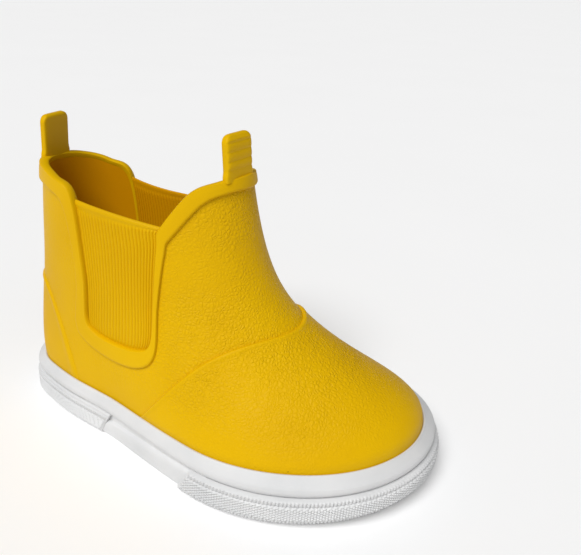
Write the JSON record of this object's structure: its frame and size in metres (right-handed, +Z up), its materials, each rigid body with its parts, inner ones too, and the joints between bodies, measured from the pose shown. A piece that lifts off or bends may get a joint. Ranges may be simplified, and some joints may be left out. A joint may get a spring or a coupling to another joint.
{
  "type": "child's slip-on rain boot",
  "caption": "Ankle-high child's rubber rain boot for the right foot, with ribbed side gussets, pull tabs and a white cupped sole with a deep zigzag tread.",
  "frame": {"origin": "bottom centre of the boot's bounding box, on the ground under the middle of the sole", "axes": "+Z up, the toe points along -Y, the heel along +Y, the outer side of the foot along -X"},
  "size_m": [0.0854, 0.1582, 0.1103],
  "materials": {
    "yellow_rubber": "satin, leather-like grain",
    "ribbed_rubber": "satin, fine ribs",
    "white_rubber": "matt",
    "amber_cushion": "glossy, clear amber",
    "board": "matt",
    "foam": "matt foam with a knitted face"
  },
  "bodies": {
    "boot": {"upper_shell": "yellow_rubber", "toe_panel": "yellow_rubber", "heel_counter": "yellow_rubber", "collar_binding": "yellow_rubber", "gusset_lateral": "ribbed_rubber", "gusset_medial": "ribbed_rubber", "foxing_band": "white_rubber", "midsole": "white_rubber", "toe_guard": "white_rubber", "heel_guard": "white_rubber", "outsole": "white_rubber", "tread_lugs": "white_rubber", "tread_panel": "white_rubber", "heel_cushion": "amber_cushion", "forefoot_window": "amber_cushion", "lasting_board": "board", "footbed": "foam"},
    "front_tab": {"front_pull_tab": "yellow_rubber"},
    "rear_tab": {"rear_pull_tab": "yellow_rubber"}
  },
  "joints": [
    {"name": "front_tab_flex", "type": "hinge", "parent": "boot", "child": "front_tab", "pos_m": [-0.002, -0.0049, 0.09865], "axis": [0.9781, -0.2079, 0], "range_deg": [-30, 30], "stiffness_Nm_per_rad": 0.03},
    {"name": "rear_tab_flex", "type": "hinge", "parent": "boot", "child": "rear_tab", "pos_m": [0.0022, 0.0684, 0.09426], "axis": [1, 0, 0], "range_deg": [-30, 30], "stiffness_Nm_per_rad": 0.03}
  ]
}
